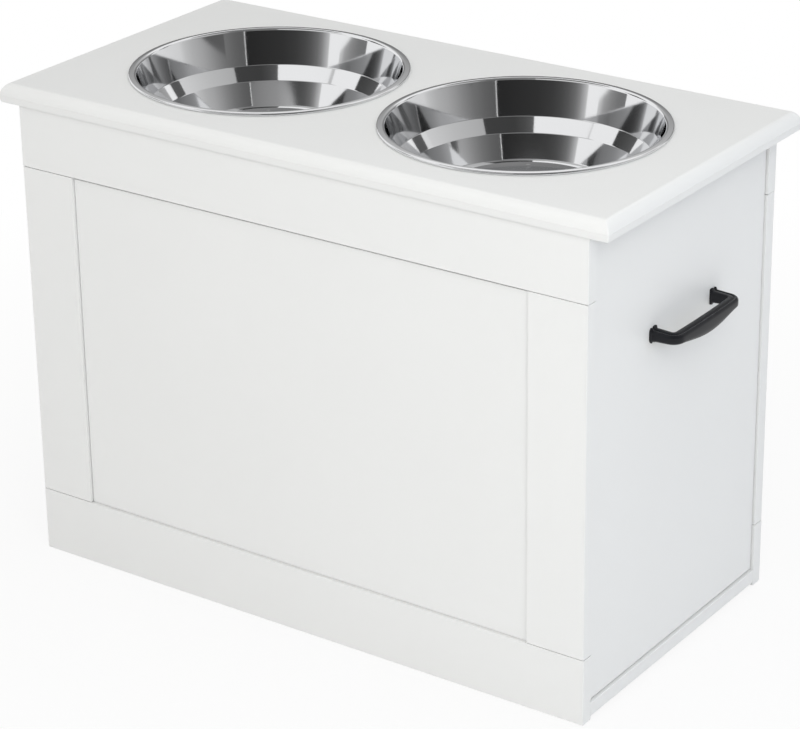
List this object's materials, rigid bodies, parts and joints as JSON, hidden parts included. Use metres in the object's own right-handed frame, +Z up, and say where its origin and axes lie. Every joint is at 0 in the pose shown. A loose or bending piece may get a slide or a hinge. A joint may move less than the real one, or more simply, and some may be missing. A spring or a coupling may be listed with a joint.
{
  "type": "elevated dog feeder",
  "caption": "Raised board cabinet with stepped steel bowls that lift out of its top and a storage drawer that pulls out of one end on ball slides.",
  "frame": {"origin": "on the floor, under the middle of the top board", "axes": "+X along the front towards the end with the drawer, +Y from the framed front seen in the picture to the back, +Z up"},
  "size_m": [0.6055, 0.306, 0.4364],
  "materials": {
    "white_board": "satin white foil on fibreboard",
    "drawer_board": "plain white board",
    "raw_wood": "raw wood",
    "bowl_steel": "mirror polished stainless steel",
    "zinc": "zinc plated",
    "slide_steel": "bright zinc plated sheet",
    "ball_steel": "polished",
    "cage_steel": "yellow zinc plated",
    "handle_black": "satin black"
  },
  "bodies": {
    "cabinet": {"top_board": "white_board", "front_top_rail": "white_board", "front_bottom_rail": "white_board", "front_left_stile": "white_board", "front_right_stile": "white_board", "front_panel": "white_board", "back_top_rail": "white_board", "back_bottom_rail": "white_board", "back_left_stile": "white_board", "back_right_stile": "white_board", "back_panel": "white_board", "left_side_panel": "white_board", "right_cross_rail": "white_board", "bottom_board": "white_board", "front_top_cleat": "raw_wood", "back_top_cleat": "raw_wood", "cleat_screws": "zinc", "frame_dowels": "raw_wood", "cam_locks": "zinc", "cam_bolts": "zinc", "near_cabinet_slide": "slide_steel", "far_cabinet_slide": "slide_steel", "cabinet_slide_screws": "zinc"},
    "drawer": {"drawer_front": "white_board", "drawer_handle": "handle_black", "handle_screws": "zinc", "drawer_subfront": "drawer_board", "drawer_back": "drawer_board", "drawer_near_side": "drawer_board", "drawer_far_side": "drawer_board", "drawer_bottom": "drawer_board", "drawer_front_screws": "zinc", "drawer_box_screws": "zinc", "near_drawer_slide": "slide_steel", "far_drawer_slide": "slide_steel", "drawer_slide_screws": "zinc"},
    "middle_slides": {"near_middle_slide": "slide_steel", "far_middle_slide": "slide_steel"},
    "outer_cages": {"outer_ball_cages": "cage_steel", "outer_balls": "ball_steel"},
    "inner_cages": {"inner_ball_cages": "cage_steel", "inner_balls": "ball_steel"},
    "left_bowl": {"bowl_left": "bowl_steel"},
    "right_bowl": {"bowl_right": "bowl_steel"}
  },
  "joints": [
    {"name": "drawer_travel", "type": "slide", "parent": "cabinet", "child": "drawer", "axis": [1, 0, 0], "range_m": [0, 0.4]},
    {"name": "middle_travel", "type": "slide", "parent": "cabinet", "child": "middle_slides", "axis": [1, 0, 0], "range_m": [0, 0.2]},
    {"name": "outer_cage_travel", "type": "slide", "parent": "cabinet", "child": "outer_cages", "axis": [1, 0, 0], "range_m": [0, 0.1]},
    {"name": "inner_cage_travel", "type": "slide", "parent": "cabinet", "child": "inner_cages", "axis": [1, 0, 0], "range_m": [0, 0.3]},
    {"name": "bowl_left_lift", "type": "slide", "parent": "cabinet", "child": "left_bowl", "axis": [0, 0, 1], "range_m": [0, 0.12]},
    {"name": "bowl_right_lift", "type": "slide", "parent": "cabinet", "child": "right_bowl", "axis": [0, 0, 1], "range_m": [0, 0.12]}
  ],
  "couplings": [
    {"joint": "middle_travel", "follows": "drawer_travel", "ratio": 0.5},
    {"joint": "outer_cage_travel", "follows": "drawer_travel", "ratio": 0.25},
    {"joint": "inner_cage_travel", "follows": "drawer_travel", "ratio": 0.75}
  ]
}
